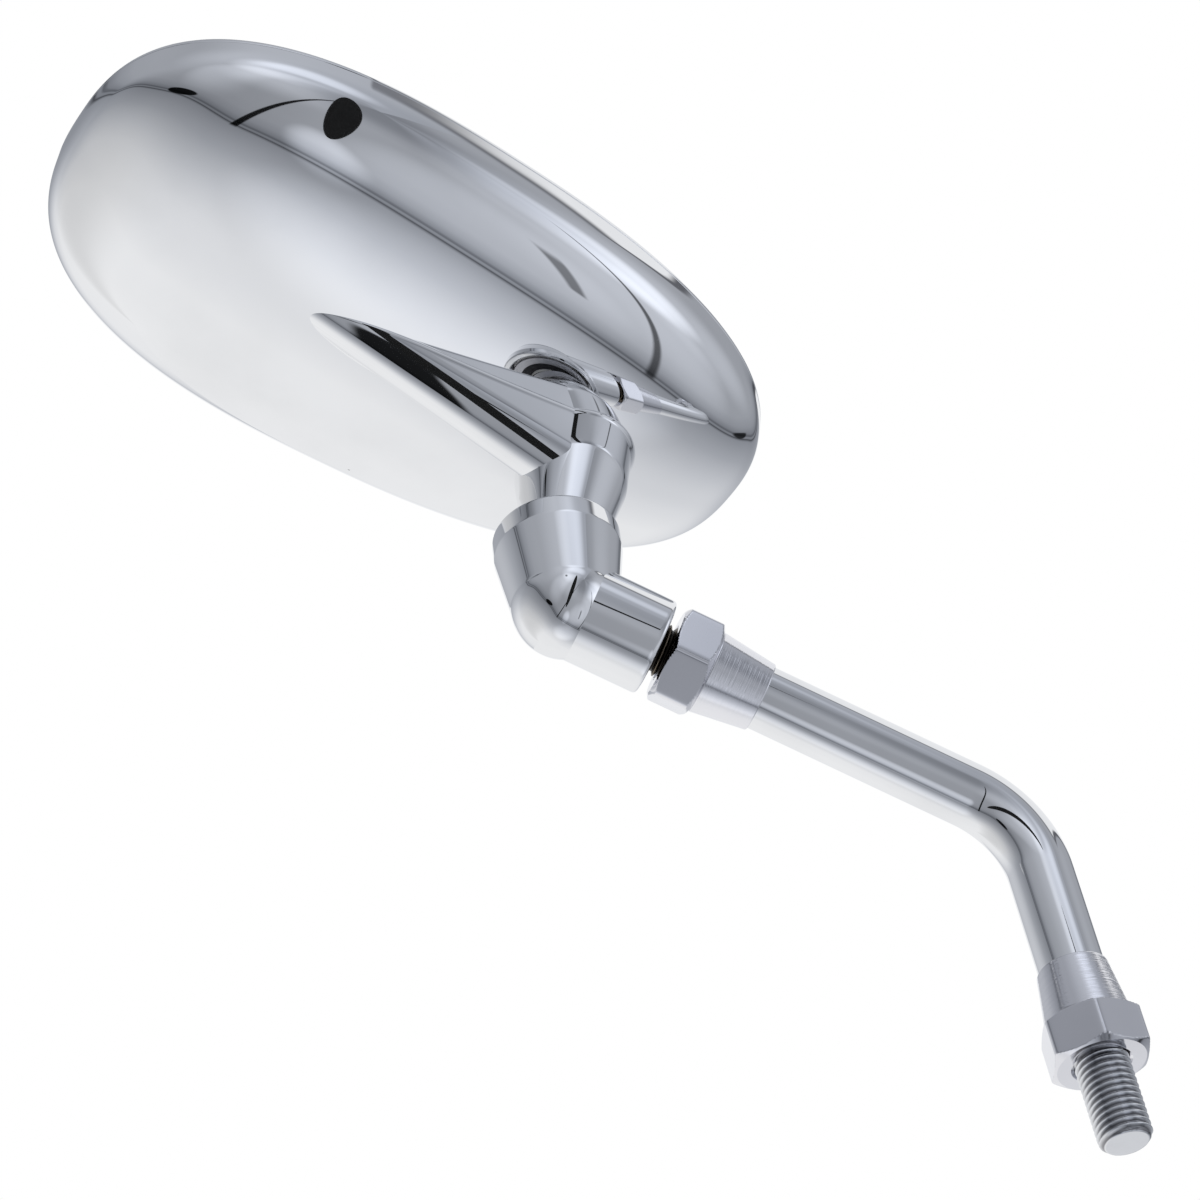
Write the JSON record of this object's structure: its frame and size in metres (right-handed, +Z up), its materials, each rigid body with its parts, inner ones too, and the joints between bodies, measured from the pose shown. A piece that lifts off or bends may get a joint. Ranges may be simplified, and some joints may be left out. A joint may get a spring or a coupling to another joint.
{
  "type": "motorcycle mirror",
  "caption": "Chrome egg-shaped rear-view mirror on a bent stem, with a threaded stud, a lock nut and a ball-jointed knuckle for aiming it.",
  "frame": {"origin": "on the stud's axis, at the seat face of the lower nut", "axes": "+Z up along the stud's axis into the stem, -X along the stem's arm, +Y completing a right-handed set"},
  "size_m": [0.1756, 0.0842, 0.2101],
  "materials": {
    "chrome": "mirror-polished plating",
    "turned_steel": "turned and plated",
    "inner_steel": "zinc plated",
    "seat_plastic": "moulded",
    "liner_plastic": "moulded",
    "gasket": "matte",
    "mirror": "silvered glass"
  },
  "bodies": {
    "stem": {"stem_rod": "chrome", "lower_ferrule": "turned_steel", "upper_ferrule": "turned_steel"},
    "lower_nut": {"lower_nut": "turned_steel"},
    "lock_nut": {"lock_nut": "turned_steel"},
    "knuckle": {"knuckle": "chrome", "preload_spring": "inner_steel", "retaining_ring": "inner_steel"},
    "ball_seat": {"seat_lower": "seat_plastic", "seat_upper": "seat_plastic"},
    "ball_liner": {"ball_liner": "liner_plastic"},
    "head": {"mirror_housing": "chrome", "ball_stud": "inner_steel", "stud_washer": "inner_steel", "stud_nut": "inner_steel", "rim_gasket": "gasket", "mirror_glass": "mirror", "bezel": "chrome"}
  },
  "joints": [
    {"name": "lower_nut_turn", "type": "hinge", "parent": "stem", "child": "lower_nut", "pos_m": [0, 0, 0], "axis": [0, 0, 1], "continuous": true},
    {"name": "lock_nut_turn", "type": "hinge", "parent": "stem", "child": "lock_nut", "pos_m": [-0.06307, 0, 0.08683], "axis": [-0.8771, 0, 0.4802], "continuous": true},
    {"name": "knuckle_turn", "type": "hinge", "parent": "stem", "child": "knuckle", "pos_m": [-0.06307, 0, 0.08683], "axis": [-0.8771, 0, 0.4802], "range_deg": [-90, 90]},
    {"name": "head_swivel", "type": "hinge", "parent": "knuckle", "child": "ball_seat", "pos_m": [-0.07929, 0.0009, 0.10745], "axis": [0.1271, 0.0812, 0.9886], "continuous": true},
    {"name": "head_tilt", "type": "hinge", "parent": "ball_seat", "child": "ball_liner", "pos_m": [-0.07929, 0.0009, 0.10745], "axis": [-0.232, 0.9714, -0.05], "range_deg": [-26, 3]},
    {"name": "head_lean", "type": "hinge", "parent": "ball_liner", "child": "head", "pos_m": [-0.07929, 0.0009, 0.10745], "axis": [0.9153, 0.2007, -0.3491], "range_deg": [-6, 6]}
  ]
}
